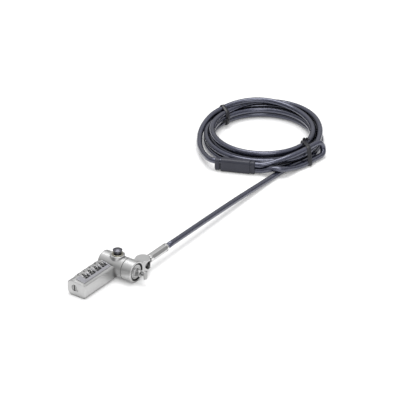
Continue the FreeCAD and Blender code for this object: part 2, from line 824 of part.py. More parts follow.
def radius_at(s):
    """Radius of the coil after s turns: steadily in and out again between the reversals."""
    r = coil_radius
    inward = -1
    left = s
    for n in layer_turns:
        step = min(left, n)
        r += inward * step * strand_pitch
        left -= step
        inward = -inward
        if left <= 0:
            break
    return r


def height_at(s):
    """Height of the coil after s turns: a layer is climbed in the half turn at each reversal."""
    z = coil_base_z
    turn = 0
    for n in layer_turns[:-1]:
        turn += n
        t = max(0.0, min(1.0, (s - turn + quarter) / (2 * quarter)))
        z += strand_pitch * (1 - math.cos(math.pi * t)) / 2
    return z


def coil_point(s):
    """Point of the coil's centre line after s turns from where the straight cable arrives."""
    psi = math.radians(360 * s - coil_oval_turn)
    r = radius_at(s)
    a = math.radians(coil_oval_turn)
    p = r * math.cos(psi)
    q = r * math.sin(psi) * coil_oval
    x = coil_x + p * math.cos(a) - q * math.sin(a)
    y = coil_y + p * math.sin(a) + q * math.cos(a)
    return Vector(x, y, height_at(s))


def coil_tangent(s):
    """Direction of the coil there; at a reversal the two sides are averaged."""
    step = 0.002
    return (coil_point(s + step) - coil_point(max(s - step, 0))).normalize()


coil_turns = sum(layer_turns)


def coil_edges():
    """Centre line of the coil: biarcs of a quarter turn, with a straight diameter at each end."""
    count = round(coil_turns / quarter)
    stations = [k * quarter for k in range(count + 1)]
    points = [coil_point(s) for s in stations]
    ways = [coil_tangent(s) for s in stations]
    edges = [Part.LineSegment(points[0] - ways[0] * cable_d, points[0]).toShape()]
    for k in range(count):
        edges += biarc(points[k], ways[k], points[k + 1], ways[k + 1])
    edges.append(Part.LineSegment(points[-1], points[-1] + ways[-1] * cable_d).toShape())
    return edges


def least_gap(wire, diameter):
    """Smallest gap between any two stretches of a wound tube, on points along its centre line."""
    points = wire.discretize(Distance=diameter * 0.35)
    skip = int(3 * diameter / (points[1] - points[0]).Length)
    least = 1e9
    for i in range(len(points)):
        for j in range(i + skip, len(points)):
            least = min(least, (points[j] - points[i]).Length)
    return least - diameter


def cable_coil():
    wire, solid = sweep(coil_edges(), cable_r)
    print("coil length", round(wire.Length, 1), "least gap", round(least_gap(wire, cable_d), 3))
    return wire, solid


def sleeve_way():
    a = math.radians(sleeve_turn)
    return Vector(math.cos(a), math.sin(a), 0)


def sleeve_end(side):
    """Middle of the sleeve's left (-1) or right (1) end face."""
    return Vector(sleeve_x, sleeve_y, sleeve_axis_z) + sleeve_way() * (side * sleeve_length / 2)


def straight_points():
    """Cable from the ferrule to the coil, easing down to the surface."""
    first = Vector(knuckle_x, knuckle_y + ferrule_start + ferrule_length, barrel_z)
    last = coil_point(0) - coil_tangent(0) * cable_d
    middle = [
        Vector(25.6, 112.0, 7.5),
        Vector(24.3, 151.0, 6.0),
        Vector(23.2, 188.0, 4.2),
        Vector(22.7, 218.0, 3.2),
        Vector(23.9, 239.0, 3.1),
    ]
    return [first] + middle + [last - coil_tangent(0) * 14, last]


def beside_coil(turn, out, z):
    """Point beside the coil: so many turns round from its start, out from its widest turn."""
    psi = math.radians(360 * turn - coil_oval_turn)
    a = math.radians(coil_oval_turn)
    p = (coil_radius + out) * math.cos(psi)
    q = (coil_radius + out) * math.sin(psi) * coil_oval
    return Vector(coil_x + p * math.cos(a) - q * math.sin(a), coil_y + p * math.sin(a) + q * math.cos(a), z)


def tail_points():
    """Cable from the coil's top, down outside its left side, into the sleeve's upper hole."""
    way = coil_tangent(coil_turns)
    start = coil_point(coil_turns) + way * cable_d
    last = sleeve_end(-1) + Z * strand_rise
    z = last.z
    middle = [
        Vector(-58.6, 243.8, z + 5.2),
        Vector(-53.4, 231.0, z + 2.4),
        Vector(-47.4, 220.4, z + 0.8),
        Vector(-40.6, 212.8, z + 0.1),
    ]
    return [start, start + way * 11] + middle + [last - Vector(11.6, 2.1, 0), last - sleeve_way() * 5.6, last]


def loop_points():
    """End loop: over the straight cable, along the coil's right side, folded and back below."""
    upper = sleeve_end(1) + Z * strand_rise
    lower = sleeve_end(1) - Z * strand_rise
    way = sleeve_way()
    low = coil_base_z + strand_pitch + 0.5
    high = low + strand_pitch + 0.5
    out = [
        beside_coil(-0.11, 3.9, high - 0.6),
        beside_coil(-0.065, 3.6, high),
        beside_coil(-0.028, 3.6, high),
        beside_coil(-0.001, 4.2, high + 0.2),
    ]
    fold = [beside_coil(0.0295, 5.8, high + 0.3), beside_coil(0.0295, 5.8, high - 11.1)]
    back = [
        beside_coil(-0.001, 5.2, 2.9),
        beside_coil(-0.028, 5.9, low - 2.8),
        beside_coil(-0.065, 4.9, low + 0.2),
        beside_coil(-0.11, 4.4, low - 0.4),
    ]
    return [upper, upper + way * 9.6] + out + fold + back + [lower + way * 9.6, lower]


def laid_tube(name, points):
    """A cable stretch, with its bend radii and volume printed beside section times length."""
    edges, radii = route_edges(points)
    wire, solid = sweep(edges, cable_r)
    ideal = math.pi * cable_r ** 2 * wire.Length
    print(name, "length", round(wire.Length, 1), "radii", [round(r, 1) for r in radii],
          "volume ratio", round(solid.Volume / ideal, 4))
    return wire, solid


def sleeve_section(distance, inset):
    """Rounded outline across the sleeve, so far from its left end and inset all round."""
    base = sleeve_end(-1) + sleeve_way() * distance
    size = (sleeve_width - 2 * inset, sleeve_height - 2 * inset)
    return rounded_outline(base, sleeve_way().cross(Z), Z, size, sleeve_corner - inset / 2)


def rounded_outline(base, right, up, size, corner):
    """Rectangle of that size round base, its corners rounded with arcs."""
    w = size[0] / 2
    h = size[1] / 2
    s = corner * (1 - math.sqrt(0.5))
    edges = []
    turn = [(1, 1), (-1, 1), (-1, -1), (1, -1)]
    for k, (i, j) in enumerate(turn):
        along_x = (i * w, j * (h - corner))
        along_y = (i * (w - corner), j * h)
        first, last = (along_x, along_y) if k % 2 == 0 else (along_y, along_x)
        middle = (i * (w - s), j * (h - s))
        arc_points = [base + right * a + up * b for a, b in (first, middle, last)]
        edges.append(Part.Arc(*arc_points).toShape())
    lines = []
    for k in range(4):
        end = edges[k].valueAt(edges[k].LastParameter)
        start = edges[(k + 1) % 4].valueAt(edges[(k + 1) % 4].FirstParameter)
        lines.append(Part.LineSegment(end, start).toShape())
    return Part.Wire([e for pair in zip(edges, lines) for e in pair])


def sleeve_holes(radius):
    """Through hole for the cable above, and below it the blind one where the cable ends."""
    way = sleeve_way()
    blind = left_collar + blind_wall
    upper = rod(radius, sleeve_length + 2, sleeve_end(-1) - way + Z * strand_rise, way)
    lower = rod(radius, sleeve_length - blind + 1, sleeve_end(-1) + way * blind - Z * strand_rise, way)
    return [upper, lower]


def loop_sleeve():
    """Moulded sleeve over the crimp: a long body between two collars, with a neck before each."""
    far = sleeve_length - right_collar
    stations = [
        (0, sleeve_waist + sleeve_edge),
        (sleeve_edge, sleeve_waist),
        (left_collar, sleeve_waist),
        (left_collar + 0.3, 2 * sleeve_waist),
        (left_collar + waist_length, 2 * sleeve_waist),
        (left_collar + waist_length + sleeve_waist, 0),
        (far - waist_length - sleeve_waist, 0),
        (far - waist_length, sleeve_waist),
        (far - 0.3, sleeve_waist),
        (far, sleeve_waist / 3),
        (sleeve_length - sleeve_edge, sleeve_waist / 3),
        (sleeve_length, sleeve_waist / 3 + sleeve_edge),
    ]
    sections = [sleeve_section(distance, inset) for distance, inset in stations]
    body = Part.makeLoft(sections, True, True)
    return body.cut(sleeve_holes(cable_r + cable_seat) + [crimp_blank(cable_seat)])


def crimp_blank(grow):
    """Rounded block round both cables inside the sleeve, larger by grow for its pocket."""
    width = cable_d + 2 * crimp_wall + 2 * grow
    way = sleeve_way()
    middle = (sleeve_length + left_collar - right_collar) / 2
    start = sleeve_end(-1) + way * (middle - crimp_length / 2 - grow)
    outline = rounded_outline(start, way.cross(Z), Z, (width, width + 2 * strand_rise), width * 0.45)
    return Part.Face(outline).extrude(way * (crimp_length + 2 * grow))


def loop_crimp():
    """Pressed metal sleeve inside the moulding that holds the two cables together."""
    return crimp_blank(0).cut(sleeve_holes(cable_r + cable_seat))


def sleeve_cables():
    """Both cables inside the sleeve: one runs through, the other ends there."""
    way = sleeve_way()
    blind = left_collar + blind_wall + cable_seat
    upper = rod(cable_r, sleeve_length, sleeve_end(-1) + Z * strand_rise, way)
    lower = rod(cable_r, sleeve_length - blind, sleeve_end(-1) + way * blind - Z * strand_rise, way)
    return Part.makeCompound([upper, lower])


def strand_centres(wires, base, across, along):
    """Where the cables pass a tie: (distance across, height) at its middle and at both its edges."""
    centres = []
    for wire in wires:
        points = wire.discretize(Distance=0.8)
        for offset in (-tie_width / 2, 0, tie_width / 2):
            for p, q in zip(points, points[1:]):
                before = (p - base).dot(along) - offset
                after = (q - base).dot(along) - offset
                if before * after <= 0 and before != after and (p - base).Length < coil_radius / 2:
                    m = p + (q - p) * (before / (before - after))
                    centres.append(((m - base).dot(across), m.z))
    return centres


def hull(points):
    """Corners of the smallest outline round flat points, anticlockwise, without the nearly straight ones."""
    points = sorted(points)

    def chain(row):
        kept = []
        for p in row:
            while len(kept) > 1 and bend(kept[-2], kept[-1], p) < least_bend:
                kept.pop()
            kept.append(p)
        return kept[:-1]

    return chain(points) + chain(points[::-1])


def bend(a, b, c):
    """Sine of the turn to the left at b."""
    ux, uy = b[0] - a[0], b[1] - a[1]
    vx, vy = c[0] - b[0], c[1] - b[1]
    return (ux * vy - uy * vx) / (math.hypot(ux, uy) * math.hypot(vx, vy) + 1e-9)


def taut_face(corners, reach, to_space):
    """Face inside the taut outline at that reach from the hull's corners: lines joined by arcs."""
    count = len(corners)
    normals = []
    for k in range(count):
        (ax, ay), (bx, by) = corners[k], corners[(k + 1) % count]
        length = math.hypot(bx - ax, by - ay)
        normals.append(((by - ay) / length, (ax - bx) / length))
    edges = []
    for k in range(count):
        a = corners[k]
        b = corners[(k + 1) % count]
        n = normals[k]
        m = normals[(k + 1) % count]
        size = math.hypot(n[0] + m[0], n[1] + m[1])
        way = ((n[0] + m[0]) / size, (n[1] + m[1]) / size)
        line_end = to_space(b[0] + n[0] * reach, b[1] + n[1] * reach)
        edges.append(Part.LineSegment(to_space(a[0] + n[0] * reach, a[1] + n[1] * reach), line_end).toShape())
        middle = to_space(b[0] + way[0] * reach, b[1] + way[1] * reach)
        edges.append(Part.Arc(line_end, middle, to_space(b[0] + m[0] * reach, b[1] + m[1] * reach)).toShape())
    return Part.Face(Part.Wire(edges))


def tie(turns, wires):
    """Band pulled tight round the strands at one place, with its twisted ends on the inner top."""
    inner = beside_coil(turns[0], -2 * strand_pitch, 0)
    outer = beside_coil(turns[1], strand_pitch, 0)
    across = (outer - inner).normalize()
    along = Z.cross(across)
    middle = (inner + outer) * 0.5
    corners = hull(strand_centres(wires, middle, across, along))

    def to_space(a, z):
        return middle + across * a + Z * z - along * (tie_width / 2)

    inside = cable_r + tie_slack
    band = taut_face(corners, inside + tie_thickness, to_space).cut(taut_face(corners, inside, to_space))
    band = band.extrude(along * tie_width)
    top = max(corners, key=lambda c: c[1] - 0.2 * c[0])
    base = to_space(top[0], top[1] + inside + tie_thickness * 0.7) + along * (tie_width / 2)
    ends = []
    for angle in (-knot_spread / 2, knot_spread / 2):
        a = math.radians(angle)
        way = along * math.cos(a) + across * math.sin(a)
        ends.append(rod(tie_thickness * 0.8, knot_length, base - way * (knot_length / 2), way))
    return band.fuse(ends)


def button_spring():
    """Round wire spring between the boss's ledge and the button's flange."""
    low = boss_ledge + spring_wire / 2 + spring_rest
    high = collar_bottom - flange_rest - button_flange_height - spring_wire / 2 - spring_rest
    count = round(spring_turns * 4)

    def point(k):
        a = math.pi / 2 * k
        z = low + (high - low) * k / count
        return Vector(button_x + spring_radius * math.cos(a), barrel_y + spring_radius * math.sin(a), z)

    def way(k):
        a = math.pi / 2 * k
        rise = (high - low) / count / (math.pi / 2)
        return Vector(-spring_radius * math.sin(a), spring_radius * math.cos(a), rise).normalize()

    edges = []
    for k in range(count):
        edges += biarc(point(k), way(k), point(k + 1), way(k + 1))
    wire, solid = sweep(edges, spring_wire / 2)
    print("button spring length", round(wire.Length, 1), "least gap", round(least_gap(wire, spring_wire), 3))
    return solid


def save_all():
    save("body_housing", body_housing())
    save("dial_plate", dial_plate())
    for number, y in enumerate(dial_ys, 1):
        save("dial_" + str(number), dial(y))
        save("code_ring_" + str(number), code_ring(y))
    save("spindle", spindle())
    save("detent_spring", detent_spring())
    save("reset_screw", reset_screw())
    save("barrel_plug", barrel_plug())
    save("lock_core", lock_core())
    save("nose_plate", nose_plate())
    save("nose_pins", nose_pins())
    save("t_bar", t_bar())
    save("retaining_ring", snap_ring())
    save("swivel_ring", swivel_ring())
    save("cable_terminal", cable_terminal())
    save("ferrule", ferrule())
    save("push_button", push_button())
    save("button_collar", button_collar())
    save("button_spring", button_spring())
    save("loop_sleeve", loop_sleeve())
    save("loop_crimp", loop_crimp())
    coil_wire, coil = cable_coil()
    save("cable_coil", coil)
    straight_wire, straight = laid_tube("cable_straight", straight_points())
    save("cable_straight", straight)
    tail_wire, tail = laid_tube("cable_tail", tail_points())
    save("cable_tail", tail)
    loop_wire, loop = laid_tube("cable_loop", loop_points())
    save("cable_loop", loop)
    save("cable_sleeved", sleeve_cables())
    wires = [coil_wire, straight_wire, tail_wire, loop_wire]
    save("tie_front", tie(tie_front, wires))
    save("tie_back", tie(tie_back, wires))
    total = coil_wire.Length + straight_wire.Length + tail_wire.Length + loop_wire.Length
    print("cable length in sight", round(total, 1))


os.makedirs("parts", exist_ok=True)
save_all()
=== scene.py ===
import math

import bmesh
import bpy
from mathutils import Matrix, Vector

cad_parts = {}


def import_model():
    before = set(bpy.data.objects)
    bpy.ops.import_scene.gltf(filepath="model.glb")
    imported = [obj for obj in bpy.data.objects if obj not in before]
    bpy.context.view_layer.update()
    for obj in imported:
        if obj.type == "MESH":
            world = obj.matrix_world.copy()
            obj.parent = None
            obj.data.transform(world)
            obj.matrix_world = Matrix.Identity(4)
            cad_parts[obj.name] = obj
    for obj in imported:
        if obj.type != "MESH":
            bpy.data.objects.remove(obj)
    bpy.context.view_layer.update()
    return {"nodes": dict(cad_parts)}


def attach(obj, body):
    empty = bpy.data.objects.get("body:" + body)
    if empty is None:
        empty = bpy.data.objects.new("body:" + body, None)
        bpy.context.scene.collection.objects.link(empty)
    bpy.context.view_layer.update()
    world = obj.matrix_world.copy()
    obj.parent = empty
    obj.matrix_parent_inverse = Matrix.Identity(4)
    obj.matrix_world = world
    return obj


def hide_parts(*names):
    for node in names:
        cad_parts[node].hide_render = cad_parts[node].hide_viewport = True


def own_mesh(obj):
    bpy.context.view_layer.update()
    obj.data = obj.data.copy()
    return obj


# Laptop cable lock: camera, cable, ties, button spring, numbers, materials and light round the
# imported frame.
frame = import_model()
nodes = frame["nodes"]

MM = 0.001

# All sizes are millimetres of the part's source. These are shared with it:
origin_x = 19.05
origin_y = 34.2625
dial_count = 4
dial_radius = 5.5
dial_x = 4.6
dial_z = 6.95
first_dial_y = 10.9
dial_pitch = 6.5
digits = 10
barrel_y = 41.3
barrel_z = 8.0
knuckle_x = 26.075
knuckle_y = 54.1
ferrule_start = 6.9
ferrule_length = 21.5
button_x = 13.5
spring_wire = 0.32
spring_radius = 3.03
spring_turns = 2.5
spring_low = 13.09         # middle of its wire at the lower end
spring_high = 16.06        # and at the upper end
cable_d = 4.4
cable_r = cable_d / 2

# Numbers on the wheels
first_digit = 24.0         # degrees from the top to the right, between two notches
digit_height = 2.35
digit_stroke = 0.24        # by which its outline is moved out
digit_width = 1.3          # times the font's own
digit_lift = 0.02          # above the wheel's lands
capital_share = 0.7        # a number's height in a font of size 1

# Sides and steps of round meshes
cable_sides = 20
wire_sides = 10
spring_sides = 12
spring_steps = 100
curve_steps = 8            # of the cable's line between two of its points

# Coil: radius and height of each ring at eight places, from the right round the back
coil_x = -18.9
coil_y = 269.7
coil_radius = 45.7
coil_oval = 1.07           # how much longer it is one way than the other
coil_oval_turn = 35.7      # degrees from the x axis to its shorter way
coil_pitch = 4.9
coil_steps = 16            # points of the coil's line in one turn
coil_end = 5.5             # turns
stations = 8               # places in one turn
first_station = 0.1        # turns from the coil's start to the first place
before_rings = (46.2, 2.8)  # radius and height at the place before that
rings = (
    ((46.2, 2.8), (45.9, 2.8), (45.4, 2.8), (44.4, 2.8), (43.9, 2.8), (43.9, 2.8), (43.9, 2.8), (41.7, 2.8)),
    ((41.0, 2.8), (40.4, 2.8), (39.6, 2.8), (39.6, 2.8), (39.6, 2.8), (39.5, 2.8), (39.4, 2.8), (37.9, 5.0)),
    ((39.4, 7.0), (39.4, 7.2), (38.9, 7.0), (38.7, 7.1), (39.1, 7.2), (39.3, 7.2), (39.4, 7.2), (41.5, 7.3)),
    ((44.2, 7.3), (45.3, 7.5), (45.0, 7.5), (43.9, 7.3), (43.2, 7.4), (43.5, 7.6), (43.8, 7.9), (46.6, 8.0)),
    ((45.0, 12.0), (45.2, 12.3), (44.2, 11.4), (39.4, 10.7),
     (39.0, 11.6), (39.0, 11.6), (39.0, 11.6), (40.0, 11.5)),
    ((39.6, 11.4), (39.8, 12.1), (40.4, 15.2), (43.3, 12.8), (47.6, 7.4), (49.0, 6.0)),
)

# Sleeve of the end loop
sleeve_length = 31.2
sleeve_x = -7.7
sleeve_y = 217.4
sleeve_z = 5.5
sleeve_turn = 23.5         # degrees from the x axis
strand_rise = 2.35         # of both strands in it, above and below its middle
blind_end = 5.0            # from the sleeve's left end to the cable's own end

# Ties round the coil: turns from its start where their inner and outer ends stand
tie_front = (0.010, -0.027)
tie_back = (0.478, 0.468)
tie_slack = 0.05
tie_reach = coil_radius / 2  # strands further from a tie's middle pass it by
strap_edge = 1.6
strap_height = 0.5
strap = (                  # across the strap and up from its inside
    (-strap_edge, 0.0), (-strap_edge, 0.2), (-1.45, 0.33), (-0.35, 0.35), (-0.18, strap_height),
    (0.18, strap_height), (0.35, 0.35), (1.45, 0.33), (strap_edge, 0.2), (strap_edge, 0.0),
)
least_bend = 0.02          # sine of the smallest corner that a tie follows
corner_steps = 6

# Twisted ends of the ties: where they start, seen along the cable, and which way they point
front_knot_side = (-0.5, 0.85)
front_knot_way = (0.05, -0.1, 0.95)
back_knot_side = (-1.0, 0.1)
back_knot_way = (-0.2, -0.6, 0.7)
knot_wire = 0.65           # radius of one end
knot_length = 5.0
knot_turns = 1.25
knot_steps = 40
twist_share = 0.8          # of the length, over which both ends turn round each other
together_share = 0.6       # of the length, over which they touch
tip_spread = 1.2           # wire radii that each tip moves out

# Camera: what it looks at, and from which side
camera_target = (-3.397, 165.279, 0.0)
camera_azimuth = 35.688    # degrees
camera_elevation = 28.890
camera_distance = 2000.0
camera_lens = 239.74       # for a sensor of the width below
camera_sensor = 36
camera_sight = 10          # metres to where it stops seeing

# Floor, lamps and sky, in metres and watts
floor_reach = 6
floor_grey = 0.85
floor_glow = 0.16
lamp_aim = (0, 0.1, 0)
lamps = (                  # name, place, width and power
    ("key", (-0.25, 0.3, 1.4), 1.0, 10.5),
    ("fill", (0.9, -0.7, 0.9), 1.0, 6.0),
)
sky_greys = (              # sine of the height above the horizon, and grey
    (0.0, 0.32), (0.3, 0.41), (0.55, 0.74), (0.85, 0.96),
)

# Vinyl over the cable's rope
rope_strands = 6
rope_lay = 4.2             # along the cable, for a turn of one strand
vinyl_dark = (0.007, 0.008, 0.020)
vinyl_light = (0.018, 0.020, 0.042)
vinyl_sheen = (0.68, 0.72, 1.0, 1)

# Painted edge highlight and grain of every finish, in metres where they are lengths
edge_highlight_angles = (0.86, 0.985)  # cosines of the normals' angle at the full painted edge highlight and where there is none
gloss_swing = 0.2          # share by which the roughness changes
edge_rounding = 0.00025
bump_height = 0.0001

# Colour sockets of Blender's mix node
mix_first = 6
mix_second = 7
mix_result = 2


def grey(v):
    """Colour of equal parts."""
    return (v, v, v)


# Finishes: dark and light colour, and what surface() takes besides
# Each finish also sets how dark and how far its painted shade near other surfaces goes, and how strong its
# painted highlight along edges is
finishes = {
    "satin_alloy": dict(dark=grey(0.46), light=grey(0.54), roughness=0.38, metallic=1.0, grain=0.30,
                        grain_scale=2500.0, edge=0.25, shade_depth=0.8),
    "bezel_alloy": dict(dark=(0.33, 0.33, 0.355), light=(0.40, 0.40, 0.43), roughness=0.32, metallic=1.0,
                        grain=0.25, grain_scale=2500.0, edge=0.4, shade_depth=0.75, stretch=(8, 0.4, 8)),
    "wheel_alloy": dict(dark=grey(0.52), light=grey(0.62), roughness=0.34, metallic=1.0, grain=0.22,
                        grain_scale=2200.0, edge=0.25, shade_depth=1.0, shade_reach=0.0022),
    "bright_steel": dict(dark=grey(0.60), light=grey(0.70), roughness=0.15, metallic=1.0, grain=0.06,
                         grain_scale=1500.0, edge=0.15, shade_depth=0.8),
    "collar_steel": dict(dark=(0.42, 0.40, 0.33), light=(0.52, 0.50, 0.42), roughness=0.2, metallic=1.0,
                         grain=0.06, grain_scale=1500.0, edge=0.2, shade_depth=0.9),
    "dark_steel": dict(dark=(0.10, 0.10, 0.115), light=(0.15, 0.15, 0.17), roughness=0.36, metallic=1.0,
                       grain=0.1, grain_scale=1500.0, edge=0.45, shade_depth=0.8),
    "plain_steel": dict(dark=grey(0.30), light=grey(0.40), roughness=0.30, metallic=1.0, grain=0.2,
                        grain_scale=1800.0, edge=0.2, shade_depth=0.8),
    "brass_inner": dict(dark=(0.60, 0.44, 0.18), light=(0.72, 0.55, 0.26), roughness=0.3, metallic=1.0,
                        grain=0.2, grain_scale=1800.0),
    "black_steel": dict(dark=grey(0.012), light=grey(0.025), roughness=0.38, metallic=0.3, grain=0.2,
                        grain_scale=1800.0),
    "sleeve_plastic": dict(dark=(0.014, 0.015, 0.028), light=(0.022, 0.024, 0.040), roughness=0.42,
                           metallic=0.0, grain=0.35, grain_scale=2200.0, edge=0.05, shade_depth=0.6),
    "tie_plastic": dict(dark=(0.010, 0.010, 0.014), light=(0.022, 0.022, 0.028), roughness=0.36,
                        metallic=0.0, grain=0.35, grain_scale=1600.0, edge=0.04, shade_depth=0.5),
    "number_ink": dict(dark=grey(0.003), light=grey(0.008), roughness=0.6, metallic=0.0, grain=0.1,
                       grain_scale=1500.0, specular=0.15),
}

# CAD nodes in each finish
finished_nodes = {
    "satin_alloy": ("body_housing", "swivel_ring", "nose_plate", "barrel_plug"),
    "bezel_alloy": ("dial_plate",),
    "wheel_alloy": ("dial_1", "dial_2", "dial_3", "dial_4"),
    "brass_inner": ("code_ring_1", "code_ring_2", "code_ring_3", "code_ring_4"),
    "bright_steel": ("ferrule",),
    "collar_steel": ("button_collar",),
    "dark_steel": ("push_button",),
    "plain_steel": ("spindle", "detent_spring", "lock_core", "t_bar", "nose_pins", "cable_terminal",
                    "loop_crimp", "reset_screw"),
    "black_steel": ("retaining_ring",),
    "sleeve_plastic": ("loop_sleeve",),
}


def place(x, y, z):
    """A point in millimetres of the part's source, in metres of the frame."""
    return Vector(((x - origin_x) * MM, (y - origin_y) * MM, z * MM))


def camera():
    """Long lens that looks at the target from the camera's two angles."""
    a = math.radians(camera_azimuth)
    e = math.radians(camera_elevation)
    back = Vector((math.sin(a) * math.cos(e), -math.cos(a) * math.cos(e), math.sin(e)))
    right = Vector((math.cos(a), math.sin(a), 0))
    up = back.cross(right)
    data = bpy.data.cameras.new("camera")
    data.lens = camera_lens
    data.sensor_width = camera_sensor
    data.clip_end = camera_sight
    obj = bpy.data.objects.new("camera", data)
    rotation = Matrix((right, up, back)).transposed().to_4x4()
    obj.matrix_world = Matrix.Translation(place(*camera_target) + back * camera_distance * MM) @ rotation
    bpy.context.scene.collection.objects.link(obj)
    bpy.context.scene.camera = obj


# The cable's route


def station(k):
    """Radius and height of the coil at that place along it; -1 is before the first."""
    if k < 0:
        return Vector(before_rings)
    return Vector(rings[k // stations][k % stations])


def lane(s):
    """Radius and height after s turns, on a smooth curve through the stations."""
    along = (s - first_station) * stations
    k = math.floor(along)
    t = along - k
    a = station(k - 1)
    b = station(k)
    c = station(k + 1)
    d = station(k + 2)
    return b + ((c - a) * t + (2 * a - 5 * b + 4 * c - d) * t ** 2 + (3 * b - 3 * c + d - a) * t ** 3) / 2


def round_coil(turn, radius, z):
    """Point so many turns round the slightly oval coil, at that radius and height."""
    psi = math.radians(360 * turn - coil_oval_turn)
    a = math.radians(coil_oval_turn)
    p = radius * math.cos(psi)
    q = radius * math.sin(psi) * coil_oval
    return Vector((coil_x + p * math.cos(a) - q * math.sin(a), coil_y + p * math.sin(a) + q * math.cos(a), z))


def coil_point(s):
    """Control point of the coil, moved out by what the smooth line cuts off a corner."""
    radius, z = lane(s)
    return round_coil(s, radius / math.cos(math.pi / coil_steps), z)


def beside_coil(turn, out, z):
    """Point at that turn and height, so far outside the coil's middle radius."""
    return round_coil(turn, coil_radius + out, z)


def sleeve_way():
    """Direction of the sleeve, from its left end to its right."""
    a = math.radians(sleeve_turn)
    return Vector((math.cos(a), math.sin(a), 0))


def sleeve_end(side, rise):
    """Where the cable above (rise 1) or below (rise -1) passes the left (-1) or right (1) end."""
    up = Vector((0, 0, rise * strand_rise))
    return Vector((sleeve_x, sleeve_y, sleeve_z)) + sleeve_way() * (side * sleeve_length / 2) + up


def straight_route():
    """From the ferrule, easing down to the surface, to the coil's start."""
    return [
        Vector((knuckle_x, knuckle_y + ferrule_start + ferrule_length, barrel_z)),
        Vector((25.6, 112.0, 7.5)),
        Vector((24.3, 151.0, 6.0)),
        Vector((23.2, 188.0, 4.2)),
        Vector((22.7, 214.0, 2.6)),
        Vector((23.1, 236.0, 2.3)),
        beside_coil(-0.065, 0.5, 2.75),
        beside_coil(-0.035, 0.5, 2.8),
    ]


def tail_route():
    """From the coil's top, down outside its left side, into the sleeve's upper hole."""
    return [
        beside_coil(0.532, 0.3, 10.2),
        beside_coil(0.562, 1.5, 8.4),
        beside_coil(0.592, 2.6, 6.8),
        beside_coil(0.622, 3.6, 5.8),
        Vector((-50.0, 229.4, 5.4)),
        Vector((-43.5, 222.8, 5.4)),
        Vector((-35.8, 216.4, 6.2)),
        sleeve_end(-1, 1) - sleeve_way() * 3.6,
        sleeve_end(-1, 1) + sleeve_way() * 4,
    ]


def loop_route():
    """End loop: along the coil's right side, folded, and back over the straight cable."""
    way = sleeve_way()
    return [
        sleeve_end(1, 1),
        sleeve_end(1, 1) + way * 5,
        Vector((16.2, 230.5, 8.9)),
        Vector((20.4, 237.0, 10.0)),
        beside_coil(-0.088, 2.1, 11.1),
        beside_coil(-0.06, 1.8, 12.0),
        beside_coil(-0.028, 1.6, 12.5),
        beside_coil(-0.006, 1.6, 12.7),
        beside_coil(0.007, 2.2, 12.8),
        beside_coil(0.024, 4.0, 12.6),
        beside_coil(0.032, 5.6, 7.8),
        beside_coil(0.024, 7.0, 2.9),
        beside_coil(0.005, 5.5, 2.8),
        beside_coil(-0.010, 4.9, 2.8),
        beside_coil(-0.026, 4.8, 2.8),
        beside_coil(-0.045, 5.1, 2.8),
        beside_coil(-0.065, 5.2, 2.8),
        Vector((28.6, 240.6, 4.0)),
        Vector((27.0, 231.6, 6.7)),
        Vector((20.0, 227.2, 7.0)),
        Vector((13.0, 226.0, 3.7)),
        sleeve_end(1, -1) + way * 2,
        sleeve_end(1, -1),
        sleeve_end(-1, -1) + way * blind_end,
    ]


def cable_route():
    """Control points of the whole cable, from the ferrule to its end inside the sleeve."""
    count = round(coil_end * coil_steps)
    coil = [coil_point(coil_end * k / count) for k in range(count + 1)]
    return [place(*p) for p in straight_route() + coil + tail_route() + loop_route()]


def smooth_line(points):
    """Points along the smooth curve that those control points give."""
    curve = bpy.data.curves.new("route", "CURVE")
    curve.dimensions = "3D"
    spline = curve.splines.new("NURBS")
    spline.points.add(len(points) - 1)
    for target, p in zip(spline.points, points):
        target.co = (*p, 1)
    spline.order_u = 3
    spline.use_endpoint_u = True
    curve.resolution_u = curve_steps
    obj = bpy.data.objects.new("route", curve)
    mesh = bpy.data.meshes.new_from_object(obj)
    line = [v.co.copy() for v in mesh.vertices]
    bpy.data.objects.remove(obj)
    bpy.data.curves.remove(curve)
    bpy.data.meshes.remove(mesh)
    return line


# Meshes and pieces


def link(name, mesh, body, material):
    """A finished mesh as a piece that rides on a body."""
    mesh.materials.append(material)
    obj = bpy.data.objects.new(name, mesh)
    bpy.context.scene.collection.objects.link(obj)
    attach(obj, body)
    return obj


def tube_rings(bm, line, radius, sides):
    """Rings of corners round a line, without a twist, and how far along it each one stands."""
    loops = []
    lengths = []
    total = 0.0
    side = None
    for i, p in enumerate(line):
        before = line[max(i - 1, 0)]
        after = line[min(i + 1, len(line) - 1)]
        way = (after - before).normalized()
        if side is None:
            side = way.cross(Vector((0, 0, 1))).normalized()
        side = (side - way * side.dot(way)).normalized()
        other = way.cross(side)
        total += (p - before).length
        lengths.append(total)
        ring = []
        for k in range(sides):
            a = 2 * math.pi * k / sides
            ring.append(bm.verts.new(p + (side * math.cos(a) + other * math.sin(a)) * radius))
        loops.append(ring)
    return loops, lengths


def tube_mesh(name, line, radius, sides):
    """Round tube with closed ends; its map runs along the line in metres and once round it."""
    mesh = bpy.data.meshes.new(name)
    bm = bmesh.new()
    layer = bm.loops.layers.uv.new("UVMap")
    loops, lengths = tube_rings(bm, line, radius, sides)
    for i in range(len(line) - 1):
        for k in range(sides):
            n = (k + 1) % sides
            face = bm.faces.new((loops[i][k], loops[i][n], loops[i + 1][n], loops[i + 1][k]))
            face.smooth = True
            across = (k / sides, (k + 1) / sides, (k + 1) / sides, k / sides)
            along = (lengths[i], lengths[i], lengths[i + 1], lengths[i + 1])
            for loop, u, v in zip(face.loops, across, along):
                loop[layer].uv = (u, v)
    bm.faces.new(list(reversed(loops[0])))
    bm.faces.new(loops[-1])
    bm.to_mesh(mesh)
    bm.free()
    return mesh


# Ties


